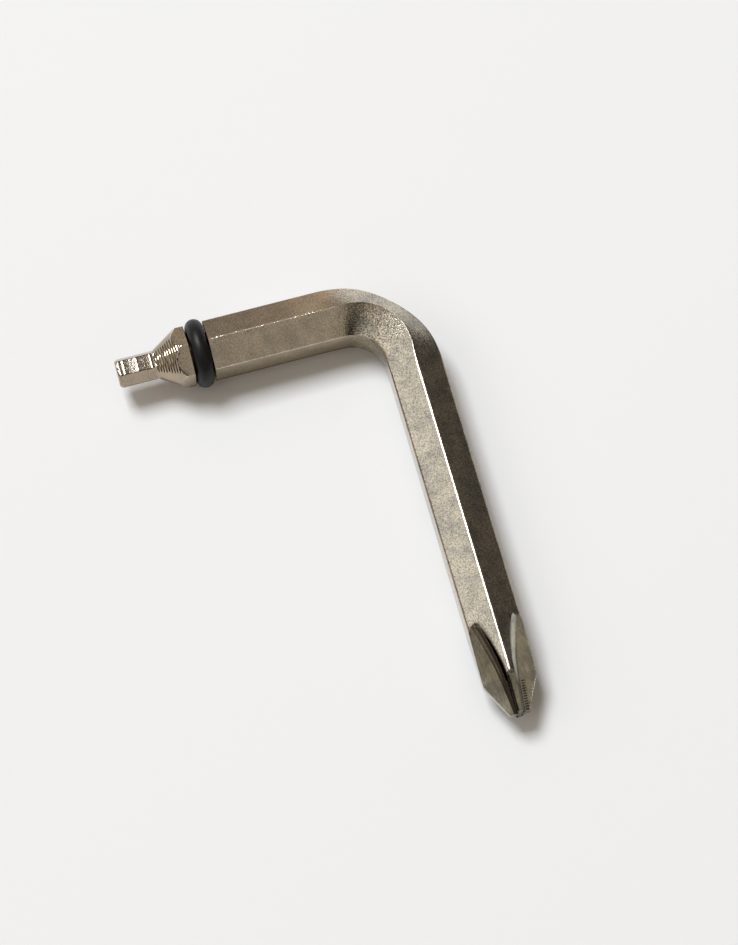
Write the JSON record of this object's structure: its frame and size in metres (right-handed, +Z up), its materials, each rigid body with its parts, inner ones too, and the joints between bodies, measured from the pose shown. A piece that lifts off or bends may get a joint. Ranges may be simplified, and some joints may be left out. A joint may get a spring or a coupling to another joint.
{
  "type": "skate tool key",
  "caption": "Bent hexagon-bar key of a skate tool, with a cross screwdriver tip on its long arm and a rubber retaining ring, cone and small hexagon tip on its short arm.",
  "frame": {"origin": "centre of the part's box on X and Y, at its lowest point, under the rubber ring", "axes": "the bend lies flat in XY: the short arm points to -X, the long arm to -Y, and +Z is up"},
  "size_m": [0.037, 0.0566, 0.0082],
  "materials": {
    "plated_steel": "nickel plated, satin, with a fine mottled grain",
    "black_rubber": "moulded, satin"
  },
  "bodies": {
    "key": {"key_bar": "plated_steel"},
    "ring": {"o_ring": "black_rubber"}
  },
  "joints": [
    {"name": "o_ring_turn", "type": "hinge", "parent": "key", "child": "ring", "pos_m": [-0.00858, 0.02415, 0.00413], "axis": [1, 0, 0], "continuous": true}
  ]
}
